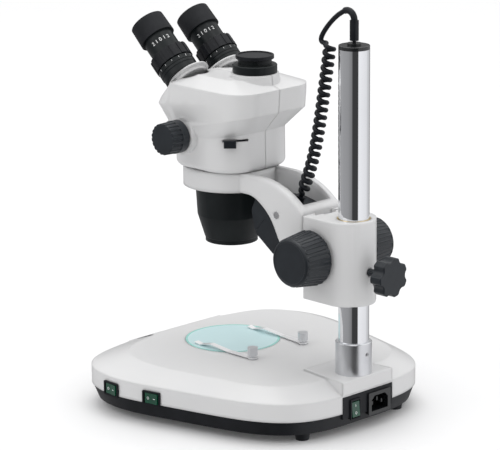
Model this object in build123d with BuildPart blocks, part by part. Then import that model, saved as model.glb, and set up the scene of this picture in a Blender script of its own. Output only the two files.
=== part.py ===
from build123d import *
import os
from math import cos, pi, radians, sin, sqrt, tan

# Stereo zoom microscope on a pillar stand. Millimetres, +Z up, the user sits on
# the -Y side, +X is the user's right. The origin is on the table, under the
# middle of the whole stand.

# ---------------------------------------------------------------- overall sizes
overall_depth = 339.5        # front of the base to the rear of the clamp knob
base_half_width = 158.0      # widest place of the base, beside the stage
clamp_reach = 56.0           # pillar axis to the rear face of the clamp knob
throat = 179.0               # pillar axis to the optical axis
pillar_y = overall_depth / 2 - clamp_reach
optic_y = pillar_y - throat
front_y = -overall_depth / 2
rear_y = pillar_y + 20.0     # flat rear face of the base

# ------------------------------------------------------------------------- base
foot_height = 9.0
pan_bottom = foot_height
parting_z = 24.5             # white shell above, black pan below
band_top = 43.5              # top of the upright band of the shell
base_top = 55.8              # flat top of the base
pad_top = 57.5               # raised pad under the pillar
shell_wall = 3.0
pan_wall = 2.5
panel_half = 37.6            # black rear panel with the mains parts
panel_top = 42.0
foot_radius = 8.5
foot_x = 70.3
rear_foot_y = pillar_y - 5.7
front_foot_y = front_y + 48.0

# -------------------------------------------------------------------- stage
stage_radius = 51.0
stage_thickness = 5.0
seat_gap = 0.2
light_opening = 46.0
clip_x = 38.0
clip_y = pillar_y - 110.0
clip_length = 84.0
clip_rise = 2.6
post_radius = 2.0

# ------------------------------------------------------------------- pillar
pillar_radius = 16.0
pillar_wall = 2.5
pillar_top = 397.0
cap_height = 4.0
collar_radius = 18.9
collar_height = 34.0
running_gap = 0.05

# -------------------------------------------------------------- focus block
block_bottom = 133.0
block_height = 88.5
block_top = block_bottom + block_height
block_half = 29.0
block_front = pillar_y - 44.0
block_wall = 5.0
bush_wall = 1.5
bush_outer = pillar_radius + running_gap + bush_wall
block_bore = bush_outer + running_gap
block_rear_radius = block_bore + block_wall
clamp_z = 168.5
clamp_stud_radius = 4.0
star_radius = 20.5
star_lobes = 7
star_thickness = 14.0

tooth_module = 0.8
pinion_teeth = 16
pinion_pitch_radius = tooth_module * pinion_teeth / 2
pinion_face = 14.0
shaft_y = pillar_y - 28.0
shaft_z = 181.0
shaft_radius = 4.0
focus_travel = 25.0          # up, and the same down
knob_inner_radius = 28.5
knob_outer_radius = 24.5
knob_length = 34.0
knob_gap = 2.5

dovetail_depth = 8.0
dovetail_neck = 12.0         # half widths of the dovetail
dovetail_back = 19.0
slide_gap = 0.08

# ------------------------------------------------------------------- holder
holder_gap = 0.4
plate_thickness = 8.0
plate_bottom = 158.0
arm_thickness = 9.0
ring_radius = 51.0
ring_bore = 38.4
ring_bottom = 229.5
ring_top = 250.5

# --------------------------------------------------------------------- head
head_gap = 0.6
head_bottom = ring_top + head_gap
neck_half = 52.0             # lower, upright part of the head
neck_corner = 38.0
neck_top = 286.0
neck_slope = 8.0
head_half = 58.5             # widest part of the head
head_front = 68.0            # in front of the optical axis
head_rear = 73.5             # behind it
head_corner = 30.0
waist_z = 299.0              # crease above the undercut, at the optical axis
waist_slope = 13.0           # degrees, the crease rises towards the rear
brow_z = 340.0               # crease between the sides and the top
crown_z = 349.0
head_wall = 3.0
port_y = optic_y + 37.0
port_collar_radius = 23.5
port_base = 353.8
zoom_y = optic_y - 16.0
zoom_z = 287.0
zoom_knob_radius = 17.5
zoom_knob_start = 61.0
zoom_knob_length = 23.0

objective_radius = 38.2
objective_waist = 36.3
objective_rim = 28.0
objective_bottom = 167.0

eye_x = 33.0                 # half of the distance between the eyes
eye_tilt = 47.0              # of the eye tubes from upright
eye_y = optic_y - 92.0       # top of the eyecup, on its axis
eye_z = 394.5
eye_length = 76.0            # top of the eyecup to the head's sloping face
turret_offset = 7.0          # eye tube from the turret's own axis
turret_radius = 24.0
tube_radius = 16.0
diopter_radius = 21.6
cup_radius = 19.0
cup_length = 22.5

os.makedirs("parts", exist_ok=True)


def keep(builder, name):
    builder.part.label = name
    export_step(builder.part, f"parts/{name}.step")
    print(name, round(builder.part.volume))


# ------------------------------------------------------- outlines of the base
# Half outlines from the rear middle round the right side to the front middle,
# as shares of the half width and of the depth.
base_depth = rear_y - front_y
BASE_POINTS = [(0, 1), (0.285, 0.998), (0.56, 0.953), (0.71, 0.868), (0.823, 0.72),
               (0.943, 0.472), (1, 0.308), (0.955, 0.163), (0.734, 0.051), (0.38, 0.008), (0, 0)]
TOP_POINTS = [(0, 0.908), (0.38, 0.903), (0.57, 0.837), (0.671, 0.707), (0.74, 0.552),
              (0.791, 0.338), (0.747, 0.24), (0.538, 0.139), (0.316, 0.11), (0, 0.1)]


def outline(points, z, inset=0.0):
    """A face of the base's outline at a height, moved in by inset."""
    wide = base_half_width - inset
    deep = base_depth - 2 * inset
    placed = [(x * wide, front_y + inset + y * deep) for x, y in points]
    with BuildSketch(Plane.XY.offset(z)) as face:
        with BuildLine() as edge:
            Spline(*placed, tangents=[(1, 0), (-1, 0)])
            mirror(edge.line, about=Plane.YZ)
        make_face()
    return face.sketch


def foot_places(z):
    """Where the four feet stand, at a height."""
    return [(side * foot_x, y, z) for side in (-1, 1) for y in (rear_foot_y, front_foot_y)]


def wall_plane(share, z):
    """A plane on the base's outer wall: share of the outline's length from the rear, x along the wall."""
    placed = [(x * base_half_width, front_y + y * base_depth) for x, y in BASE_POINTS]
    wall = Spline(*placed, tangents=[(1, 0), (-1, 0)])
    at = wall @ share
    along = wall % share
    return Plane((at.X, at.Y, z), x_dir=(along.X, along.Y, 0), z_dir=(-along.Y, along.X, 0))


# ------------------------------------------------------------------ base shell
rear_plane = Plane((0, rear_y, 0), x_dir=(-1, 0, 0), z_dir=(0, 1, 0))
rocker_z = 30.5
side_rockers = [wall_plane(share, rocker_z) for share in (0.5, 0.605)]
rocker_long = 19.0
rocker_short = 12.5
bezel_long = 22.0
bezel_short = 15.5
bezel_depth = 12.0
bezel_lip = 1.6
main_rocker_x = 19.0
mains_z = 26.0
inlet_x = -16.5
inlet_wide = 33.0
inlet_high = 24.0
inlet_depth = 26.0
main_plane = Plane((main_rocker_x, rear_y, mains_z), x_dir=(0, 0, 1), z_dir=(0, 1, 0))
inlet_plane = Plane((inlet_x, rear_y, mains_z), x_dir=(-1, 0, 0), z_dir=(0, 1, 0))
rocker_planes = [*side_rockers, main_plane]
rocker_names = ["front_light_rocker", "rear_light_rocker", "mains_rocker"]


def cut_windows():
    """Windows for the three rocker bezels and the mains inlet, in the part being made."""
    for plane in rocker_planes:
        with BuildSketch(plane.offset(-bezel_depth)) as window:
            Rectangle(bezel_long - 2, bezel_short - 2)
        extrude(window.sketch, amount=2 * bezel_depth, mode=Mode.SUBTRACT)
    with BuildSketch(inlet_plane.offset(-inlet_depth)) as window:
        Rectangle(inlet_wide - 2, inlet_high - 2)
    extrude(window.sketch, amount=2 * inlet_depth, mode=Mode.SUBTRACT)


seat_bottom = base_top - stage_thickness - 6
pillar_foot = 44.0           # lower end of the pillar, in the shell's boss
boss_floor = 4.0
pillar_boss_radius = pillar_radius + 3.5
bolt_radius = 4.0
with BuildPart() as base_shell:
    extrude(outline(BASE_POINTS, parting_z), amount=band_top - parting_z)
    loft([outline(BASE_POINTS, band_top), outline(TOP_POINTS, base_top)])
    with BuildSketch(Plane.XY.offset(band_top - 6)) as pad:
        with BuildLine():
            Polyline((-panel_half, rear_y), (panel_half, rear_y), (30, pillar_y - 43),
                     (-30, pillar_y - 43), close=True)
        make_face()
    extrude(pad.sketch, amount=pad_top - band_top + 6)
    extrude(outline(BASE_POINTS, parting_z, shell_wall), amount=band_top - parting_z - 1, mode=Mode.SUBTRACT)
    loft([outline(BASE_POINTS, band_top - 1, shell_wall),
          outline(TOP_POINTS, base_top - shell_wall, shell_wall)], mode=Mode.SUBTRACT)
    with Locations((0, optic_y, seat_bottom)):
        Cylinder(stage_radius + shell_wall, base_top - 1 - seat_bottom, align=(Align.CENTER, Align.CENTER, Align.MIN))
        Cylinder(light_opening, 60, mode=Mode.SUBTRACT)
    with Locations((0, optic_y, base_top)):
        Cylinder(stage_radius + seat_gap, stage_thickness, align=(Align.CENTER, Align.CENTER, Align.MAX),
                 mode=Mode.SUBTRACT)
    with Locations((0, pillar_y, pillar_foot - boss_floor)):
        Cylinder(pillar_boss_radius, base_top - pillar_foot + boss_floor - 1,
                 align=(Align.CENTER, Align.CENTER, Align.MIN))
        Cylinder(bolt_radius + 0.2, 60, mode=Mode.SUBTRACT)
    with Locations((0, pillar_y, pillar_foot)):
        Cylinder(pillar_radius, 60, align=(Align.CENTER, Align.CENTER, Align.MIN), mode=Mode.SUBTRACT)
    with Locations(*[(side * clip_x, clip_y, base_top) for side in (-1, 1)]):
        Cylinder(post_radius, 12, mode=Mode.SUBTRACT)
    with BuildSketch(Plane.XY.offset(parting_z)) as notch:
        with Locations((0, rear_y)):
            Rectangle(2 * panel_half, 12)
    extrude(notch.sketch, amount=panel_top - parting_z, mode=Mode.SUBTRACT)
    cut_windows()
    fillet(base_shell.faces().filter_by(Plane.XY).group_by(Axis.Z)[-1].edges().filter_by(Axis.X), 1.2)
keep(base_shell, "base_shell")


# ------------------------------------------------------------------- black pan
with BuildPart() as base_pan:
    pan_taper = 6.0
    loft([outline(BASE_POINTS, pan_bottom, pan_taper), outline(BASE_POINTS, parting_z - 0.2, 0.8)])
    loft([outline(BASE_POINTS, pan_bottom + pan_wall, pan_taper + pan_wall),
          outline(BASE_POINTS, parting_z, pan_wall + 0.8)], mode=Mode.SUBTRACT)
    with BuildSketch(Plane.XY.offset(parting_z - 6)) as panel:
        with Locations((0, rear_y)):
            Rectangle(2 * panel_half - 0.4, 2 * pan_wall, align=(Align.CENTER, Align.MAX))
    extrude(panel.sketch, amount=panel_top - parting_z + 5.8)
    for x, y, z in foot_places(pan_bottom):
        with Locations((x, y, z)):
            Cylinder(6, 10, align=(Align.CENTER, Align.CENTER, Align.MIN))
            Cylinder(2.05, 40, mode=Mode.SUBTRACT)
    cut_windows()
keep(base_pan, "base_pan")

with BuildPart() as rubber_feet:
    foot_seat = 3.0
    for x, y, z in foot_places(0):
        with Locations((x, y, z)):
            Cone(foot_radius - 1.5, foot_radius, foot_height, align=(Align.CENTER, Align.CENTER, Align.MIN))
            Cylinder(4.5, 2 * foot_seat, mode=Mode.SUBTRACT)
            Cylinder(2.05, 40, mode=Mode.SUBTRACT)
keep(rubber_feet, "rubber_feet")

with BuildPart() as foot_screws:
    for x, y, z in foot_places(foot_seat - 2.4):
        with Locations((x, y, z)):
            Cylinder(4.0, 2.4, align=(Align.CENTER, Align.CENTER, Align.MIN))
            Cylinder(2.0, 14, align=(Align.CENTER, Align.CENTER, Align.MIN))
            Cylinder(1.6, 2.6, rotation=(0, 0, 0), mode=Mode.SUBTRACT)
keep(foot_screws, "foot_screws")

# ------------------------------------------------ rockers, bezels, mains inlet
pin_radius = 1.2
rocker_drop = 4.0            # the pivot's depth behind the wall
rocker_proud = 0.8           # of the raised end above the bezel's lip
rocker_end_gap = 1.6         # at each end, so that the raised end can swing inward
rocker_side_gap = 0.8
bezel_hole_long = rocker_long + 0.8
bezel_hole_short = rocker_short + 0.6

with BuildPart() as rocker_bezels:
    for plane in rocker_planes:
        with BuildSketch(plane) as lip:
            Rectangle(bezel_long, bezel_short)
            fillet(lip.vertices(), 1.2)
        extrude(lip.sketch, amount=bezel_lip)
        with BuildSketch(plane.offset(-bezel_depth)) as body:
            Rectangle(bezel_long - 2.2, bezel_short - 2.2)
        extrude(body.sketch, amount=bezel_depth)
        with BuildSketch(plane.offset(-bezel_depth + 2)) as hollow:
            Rectangle(bezel_hole_long - 1.2, bezel_hole_short - 1.2)
        extrude(hollow.sketch, amount=bezel_depth + bezel_lip, mode=Mode.SUBTRACT)
        pivot = Plane(plane.origin - plane.z_dir * rocker_drop, x_dir=plane.x_dir, z_dir=plane.y_dir)
        with BuildSketch(pivot) as eye:
            Circle(pin_radius + running_gap)
        extrude(eye.sketch, amount=bezel_short, both=True, mode=Mode.SUBTRACT)
keep(rocker_bezels, "rocker_bezels")

for plane, name in zip(rocker_planes, rocker_names):
    side = Plane(plane.origin - plane.z_dir * rocker_drop, x_dir=plane.x_dir, z_dir=plane.y_dir)
    reach = rocker_long / 2 - rocker_end_gap
    with BuildPart() as rocker:
        with BuildSketch(side.offset(rocker_side_gap - rocker_short / 2)) as profile:
            with BuildLine():
                Polyline((-reach, -rocker_drop + 1), (-reach, -rocker_drop - bezel_lip - rocker_proud),
                         (0, -rocker_drop - bezel_lip + 0.2), (reach, -rocker_drop - bezel_lip + 0.6),
                         (reach, -rocker_drop + 1), (0, 2.4), close=True)
            make_face()
        extrude(profile.sketch, amount=rocker_short - 2 * rocker_side_gap)
        with BuildSketch(side) as pin:
            Circle(pin_radius)
        extrude(pin.sketch, amount=bezel_short / 2 - 1.1, both=True)
    keep(rocker, name)

with BuildPart() as mains_inlet:
    with BuildSketch(inlet_plane) as lip:
        Rectangle(inlet_wide, inlet_high)
        fillet(lip.vertices(), 1.5)
    extrude(lip.sketch, amount=2)
    with BuildSketch(inlet_plane.offset(-inlet_depth)) as body:
        Rectangle(inlet_wide - 2.2, inlet_high - 2.2)
        chamfer(body.vertices().group_by(Axis.Y)[-1], 4)
    extrude(body.sketch, amount=inlet_depth)
    with BuildSketch(inlet_plane.offset(2)) as socket:
        Rectangle(24.5, 16.5)
        chamfer(socket.vertices().group_by(Axis.Y)[-1], 4.5)
    extrude(socket.sketch, amount=-18, mode=Mode.SUBTRACT)
    with BuildSketch(inlet_plane.offset(-16)) as blades:
        with Locations((-7, -1), (0, 2.5), (7, -1)):
            Rectangle(2, 4)
    extrude(blades.sketch, amount=14)
keep(mains_inlet, "mains_inlet")

# ------------------------------------------------------------- inside the base
board_z = pan_bottom + pan_wall + 4
with BuildPart() as power_board:
    with BuildSketch(Plane.XY.offset(board_z)) as board:
        with Locations((0, rear_y - 70)):
            Rectangle(84, 52)
    extrude(board.sketch, amount=1.6)
    with Locations((-22, rear_y - 70, board_z + 1.6)):
        Box(26, 22, 16, align=(Align.CENTER, Align.CENTER, Align.MIN))
    with Locations((14, rear_y - 62, board_z + 1.6), (30, rear_y - 62, board_z + 1.6)):
        Cylinder(5, 15, align=(Align.CENTER, Align.CENTER, Align.MIN))
    with Locations((20, rear_y - 84, board_z + 1.6)):
        Box(30, 8, 9, align=(Align.CENTER, Align.CENTER, Align.MIN))
    with GridLocations(76, 44, 2, 2):
        with Locations((0, rear_y - 70, pan_bottom + pan_wall)):
            Cylinder(2.5, 4, align=(Align.CENTER, Align.CENTER, Align.MIN))
keep(power_board, "power_board")

cup_top = base_top - stage_thickness - 6
with BuildPart() as light_cup:
    cup_floor = pan_bottom + pan_wall
    with Locations((0, optic_y, cup_floor)):
        Cone(32, light_opening + 2, cup_top - cup_floor, align=(Align.CENTER, Align.CENTER, Align.MIN))
    with Locations((0, optic_y, cup_floor + 2)):
        Cone(30.5, light_opening + 0.3, cup_top - cup_floor - 2, mode=Mode.SUBTRACT,
             align=(Align.CENTER, Align.CENTER, Align.MIN))
keep(light_cup, "light_cup")

with BuildPart() as led_board:
    with Locations((0, optic_y, cup_floor + 2)):
        Cylinder(28, 1.6, align=(Align.CENTER, Align.CENTER, Align.MIN))
    with Locations((0, optic_y, cup_floor + 3.6)):
        with PolarLocations(19, 12):
            Box(3.5, 3.5, 1.2, align=(Align.CENTER, Align.CENTER, Align.MIN))
        with PolarLocations(9, 6):
            Box(3.5, 3.5, 1.2, align=(Align.CENTER, Align.CENTER, Align.MIN))
keep(led_board, "led_board")

# ---------------------------------------------------------- stage plate, clips
with BuildPart() as stage_plate:
    with Locations((0, optic_y, base_top + 0.1)):
        Cylinder(stage_radius, stage_thickness, align=(Align.CENTER, Align.CENTER, Align.MAX))
    fillet(stage_plate.edges().filter_by(GeomType.CIRCLE).group_by(Axis.Z)[-1], 0.6)
keep(stage_plate, "stage_plate")

with BuildPart() as clip_posts:
    for side in (-1, 1):
        with Locations((side * clip_x, clip_y, base_top)):
            Cylinder(4.2, 1.2, align=(Align.CENTER, Align.CENTER, Align.MIN))
            Cylinder(post_radius, 9, align=(Align.CENTER, Align.CENTER, Align.CENTER))
        with Locations((side * clip_x, clip_y, base_top + 4.5)):
            Cylinder(5.5, 8.5, align=(Align.CENTER, Align.CENTER, Align.MIN))
        with Locations((side * clip_x, clip_y, base_top + 4.5)):
            with PolarLocations(5.9, 16):
                Cylinder(0.7, 8.5, align=(Align.CENTER, Align.CENTER, Align.MIN), mode=Mode.SUBTRACT)
keep(clip_posts, "clip_posts")

clip_z = base_top + 1.4
for side, name in ((-1, "stage_clip_left"), (1, "stage_clip_right")):
    with BuildPart() as clip:
        with BuildSketch(Plane.XY.offset(clip_z)) as flat:
            with Locations((side * clip_x, clip_y)):
                Circle(5.8)
            with BuildLine():
                Polyline((side * clip_x - 5, clip_y), (side * (clip_x + 2) - 3.2, clip_y - 34),
                         (side * (clip_x + 2) + 3.2, clip_y - 34), (side * clip_x + 5, clip_y), close=True)
            make_face()
        extrude(flat.sketch, amount=0.8)
        tip = (side * (clip_x + 2), clip_y - clip_length)
        with BuildSketch(Plane.YZ.offset(tip[0] - 3.2)) as spring:
            with BuildLine():
                Polyline((clip_y - 33, clip_z), (clip_y - 60, clip_z + clip_rise), (tip[1] + 8, base_top + 0.3),
                         (tip[1], base_top + 1.6), (tip[1], base_top + 2.4), (tip[1] + 8, base_top + 1.1),
                         (clip_y - 60, clip_z + clip_rise + 0.8), (clip_y - 33, clip_z + 0.8), close=True)
            make_face()
        extrude(spring.sketch, amount=6.4)
        with Locations((side * clip_x, clip_y, clip_z)):
            Cylinder(post_radius + running_gap, 8, mode=Mode.SUBTRACT)
    keep(clip, name)

# -------------------------------------------------------------------- pillar
plug_height = 12.0           # threaded plug in the pillar's lower end
with BuildPart() as pillar_tube:
    with Locations((0, pillar_y, pillar_foot)):
        Cylinder(pillar_radius, pillar_top - pillar_foot, align=(Align.CENTER, Align.CENTER, Align.MIN))
        Cylinder(pillar_radius - pillar_wall, pillar_top - pillar_foot, mode=Mode.SUBTRACT,
                 align=(Align.CENTER, Align.CENTER, Align.MIN))
        Cylinder(pillar_radius - 1, plug_height, align=(Align.CENTER, Align.CENTER, Align.MIN))
        Cylinder(bolt_radius, 40, mode=Mode.SUBTRACT)
keep(pillar_tube, "pillar_tube")

bolt_head = 2.8
with BuildPart() as pillar_bolt:
    with Locations((0, pillar_y, pillar_foot - boss_floor)):
        Cylinder(bolt_radius, boss_floor + plug_height - 1, align=(Align.CENTER, Align.CENTER, Align.MIN))
        Cylinder(6.5, bolt_head, align=(Align.CENTER, Align.CENTER, Align.MAX))
    with BuildSketch(Plane.XY.offset(pillar_foot - boss_floor - bolt_head)) as key:
        with Locations((0, pillar_y)):
            RegularPolygon(2.5, 6)
    extrude(key.sketch, amount=1.8, mode=Mode.SUBTRACT)
keep(pillar_bolt, "pillar_bolt")

with BuildPart() as pillar_cap:
    with Locations((0, pillar_y, pillar_top)):
        Cylinder(pillar_radius, cap_height, align=(Align.CENTER, Align.CENTER, Align.MIN))
        Cylinder(pillar_radius - pillar_wall - 0.05, 10, align=(Align.CENTER, Align.CENTER, Align.MAX))
        Cylinder(4.05, 40, mode=Mode.SUBTRACT)
    fillet(pillar_cap.edges().filter_by(GeomType.CIRCLE).group_by(Axis.Z)[-1].sort_by(SortBy.RADIUS)[-1], 0.8)
keep(pillar_cap, "pillar_cap")

cap_top = pillar_top + cap_height
with BuildPart() as cord_jack:
    with Locations((0, pillar_y, cap_top)):
        Cylinder(7.2, 2.2, align=(Align.CENTER, Align.CENTER, Align.MIN))
        Cylinder(4.0, 14, align=(Align.CENTER, Align.CENTER, Align.MAX))
        Cylinder(1.8, 40, mode=Mode.SUBTRACT)
keep(cord_jack, "cord_jack")

with BuildPart() as pillar_collar:
    with Locations((0, pillar_y, pad_top)):
        Cylinder(collar_radius, collar_height, align=(Align.CENTER, Align.CENTER, Align.MIN))
        Cylinder(pillar_radius, 200, mode=Mode.SUBTRACT)
    chamfer(pillar_collar.edges().filter_by(GeomType.CIRCLE).group_by(Axis.Z)[-1].sort_by(SortBy.RADIUS)[-1], 0.8)
    with BuildSketch(Plane((0, pillar_y, pad_top + 22), x_dir=(1, 0, 0), z_dir=(0, 1, 0))) as hole:
        Circle(2.5)
    extrude(hole.sketch, amount=40, mode=Mode.SUBTRACT)
keep(pillar_collar, "pillar_collar")

with BuildPart() as collar_screw:
    with BuildSketch(Plane((0, pillar_y + pillar_radius, pad_top + 22), x_dir=(1, 0, 0), z_dir=(0, 1, 0))) as stud:
        Circle(2.5)
        RegularPolygon(1.4, 6, mode=Mode.SUBTRACT)
    extrude(stud.sketch, amount=2.2)
keep(collar_screw, "collar_screw")


# --------------------------------------------------------------- focus block
dovetail_y = block_front + dovetail_depth     # back of the dovetail groove
rack_line = shaft_y - pinion_pitch_radius     # pitch line where rack and pinion meet
block_middle = (block_bottom + block_top) / 2


def block_section(z):
    """The block's outline from above: square in front, rounded round the pillar."""
    turn = pillar_y - 6
    with BuildSketch(Plane.XY.offset(z)) as face:
        with BuildLine() as edge:
            Line((0, block_front), (block_half, block_front))
            Line((block_half, block_front), (block_half, turn))
            shoulder = (block_rear_radius * sin(radians(46)), pillar_y + block_rear_radius * cos(radians(46)))
            TangentArc((block_half, turn), shoulder, tangent=(0, 1))
            ThreePointArc(shoulder, (block_rear_radius * sin(radians(23)),
                                     pillar_y + block_rear_radius * cos(radians(23))),
                          (0, pillar_y + block_rear_radius))
            mirror(edge.line, about=Plane.YZ)
        make_face()
    return face.sketch


def dovetail(z, spread):
    """The dovetail's section, grown by spread all round."""
    with BuildSketch(Plane.XY.offset(z)) as face:
        with BuildLine():
            Polyline((-dovetail_neck - spread, block_front - 1), (-dovetail_neck - spread, block_front),
                     (-dovetail_back - spread, dovetail_y + spread), (dovetail_back + spread, dovetail_y + spread),
                     (dovetail_neck + spread, block_front), (dovetail_neck + spread, block_front - 1), close=True)
        make_face()
    return face.sketch


with BuildPart() as pillar_bush:
    with Locations((0, pillar_y, block_bottom)):
        Cylinder(bush_outer, block_height, align=(Align.CENTER, Align.CENTER, Align.MIN))
        Cylinder(pillar_radius + running_gap, 3 * block_height, mode=Mode.SUBTRACT)
keep(pillar_bush, "pillar_bush")

groove_half = pinion_face / 2 + 1.5
bush_radius = shaft_radius + 3.5
with BuildPart() as focus_block:
    extrude(block_section(block_bottom), amount=block_height)
    fillet(focus_block.edges().group_by(Axis.Z)[-1] + focus_block.edges().group_by(Axis.Z)[0], 1.2)
    with Locations((0, pillar_y, block_middle)):
        Cylinder(block_bore, 2 * block_height, mode=Mode.SUBTRACT)
    extrude(dovetail(block_bottom - 1, slide_gap), amount=block_height + 2, mode=Mode.SUBTRACT)
    with Locations((0, dovetail_y - 1, block_middle)):
        Box(2 * groove_half, rack_line + 2.2 - dovetail_y + 1, 2 * block_height, mode=Mode.SUBTRACT,
            align=(Align.CENTER, Align.MIN, Align.CENTER))
    with Locations((0, shaft_y, shaft_z)):
        Cylinder(pinion_pitch_radius + 1.8, 2 * groove_half, rotation=(0, 90, 0), mode=Mode.SUBTRACT)
        Cylinder(bush_radius, 4 * block_half, rotation=(0, 90, 0), mode=Mode.SUBTRACT)
    with Locations((0, pillar_y + block_rear_radius, clamp_z)):
        Cylinder(clamp_stud_radius + 0.05, 2 * block_wall + 4, rotation=(90, 0, 0), mode=Mode.SUBTRACT)
keep(focus_block, "focus_block")

with BuildPart() as shaft_bushes:
    bush_length = 14.0
    for side in (-1, 1):
        with Locations((side * (block_half - bush_length / 2), shaft_y, shaft_z)):
            Cylinder(bush_radius, bush_length, rotation=(0, 90, 0))
            Cylinder(shaft_radius + running_gap, 2 * bush_length, rotation=(0, 90, 0), mode=Mode.SUBTRACT)
keep(shaft_bushes, "shaft_bushes")

star_rear = pillar_y + clamp_reach
star_front = star_rear - star_thickness
stud_start = pillar_y + block_bore + 0.1
star_plane = Plane((0, star_front, clamp_z), x_dir=(-1, 0, 0), z_dir=(0, 1, 0))
with BuildPart() as star_knob:
    with BuildSketch(star_plane) as star:
        Circle(star_radius)
        with PolarLocations(star_radius + 3.6, star_lobes):
            Circle(6.8, mode=Mode.SUBTRACT)
        fillet(star.vertices(), 2.4)
    extrude(star.sketch, amount=star_thickness)
    chamfer(star_knob.faces().sort_by(Axis.Y)[-1].edges(), 1.0)
    with BuildSketch(star_plane) as hub:
        Circle(8)
    extrude(hub.sketch, amount=-4)
    with BuildSketch(star_plane.offset(stud_start - star_front)) as stud:
        Circle(clamp_stud_radius)
    extrude(stud.sketch, amount=star_rear - 4 - stud_start)
keep(star_knob, "star_knob")


# ------------------------------------------------------------ rack and pinion
tooth_pitch = pi * tooth_module
tooth_slack = 0.14           # taken off each flank


def tooth_widths(height):
    """Half width of a rack tooth at a height above its pitch line."""
    return tooth_pitch / 4 - tooth_slack - height * tan(radians(20))


with BuildPart() as pinion_shaft:
    with Locations((0, shaft_y, shaft_z)):
        Cylinder(shaft_radius, 2 * (block_half + knob_gap + 20), rotation=(0, 90, 0))
    with BuildSketch(Plane((-pinion_face / 2, shaft_y, shaft_z), x_dir=(0, -1, 0), z_dir=(1, 0, 0))) as gear:
        root = pinion_pitch_radius - 1.25 * tooth_module
        tip = pinion_pitch_radius + 0.8 * tooth_module
        Circle(root)
        with PolarLocations(0, pinion_teeth, start_angle=180 / pinion_teeth):
            Polygon((root - 0.3, -0.8), (pinion_pitch_radius, -tooth_widths(0)), (tip, -0.22),
                    (tip, 0.22), (pinion_pitch_radius, tooth_widths(0)), (root - 0.3, 0.8), align=None)
    extrude(gear.sketch, amount=pinion_face)
keep(pinion_shaft, "pinion_shaft")

slide_bottom = plate_bottom
slide_top = block_top - 4
rack_back = dovetail_y - 1.5
with BuildPart() as focus_rack:
    with BuildSketch(Plane.YZ.offset(-pinion_face / 2)) as strip:
        root_y = rack_line - 1.25 * tooth_module
        with Locations((rack_back, (slide_bottom + slide_top) / 2)):
            Rectangle(root_y - rack_back, slide_top - slide_bottom, align=(Align.MIN, Align.CENTER))
        first = int((slide_bottom + 2 - shaft_z) / tooth_pitch)
        last = int((slide_top - 2 - shaft_z) / tooth_pitch)
        for n in range(first, last + 1):
            middle = shaft_z + n * tooth_pitch
            low, high = tooth_widths(-1.25 * tooth_module), tooth_widths(0.8 * tooth_module)
            with BuildLine():
                Polyline((root_y, middle - low), (rack_line + 0.8 * tooth_module, middle - high),
                         (rack_line + 0.8 * tooth_module, middle + high), (root_y, middle + low), close=True)
            make_face()
    extrude(strip.sketch, amount=pinion_face)
keep(focus_rack, "focus_rack")

with BuildPart() as dovetail_slide:
    extrude(dovetail(slide_bottom, 0), amount=slide_top - slide_bottom)
    with Locations((0, rack_back, block_middle)):
        Box(pinion_face, 20, 4 * block_height, align=(Align.CENTER, Align.MIN, Align.CENTER), mode=Mode.SUBTRACT)
    with Locations((0, block_front - holder_gap, block_middle)):
        Box(60, 20, 4 * block_height, align=(Align.CENTER, Align.MAX, Align.CENTER), mode=Mode.SUBTRACT)
keep(dovetail_slide, "dovetail_slide")

# ---------------------------------------------------------------- focus knobs
with BuildPart() as focus_knobs:
    for side in (-1, 1):
        near = side * (block_half + knob_gap)
        base = Plane((near, shaft_y, shaft_z), x_dir=(0, side, 0), z_dir=(side, 0, 0))
        with BuildSketch(Plane((0, shaft_y, shaft_z), x_dir=(side, 0, 0), z_dir=(0, -1, 0))) as profile:
            with BuildLine():
                start = block_half + knob_gap
                end = start + knob_length
                Polyline((start, 0), (start, knob_inner_radius - 3), (start + 4, knob_inner_radius),
                         (start + 12, knob_inner_radius - 0.2), (end - 2.5, knob_outer_radius + 1),
                         (end, knob_outer_radius - 1), (end, 0), close=True)
            make_face()
        revolve(profile.sketch, axis=Axis((0, shaft_y, shaft_z), (1, 0, 0)))
        with BuildSketch(base) as bore:
            Circle(shaft_radius)
        extrude(bore.sketch, amount=20, mode=Mode.SUBTRACT)
keep(focus_knobs, "focus_knobs")


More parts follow.
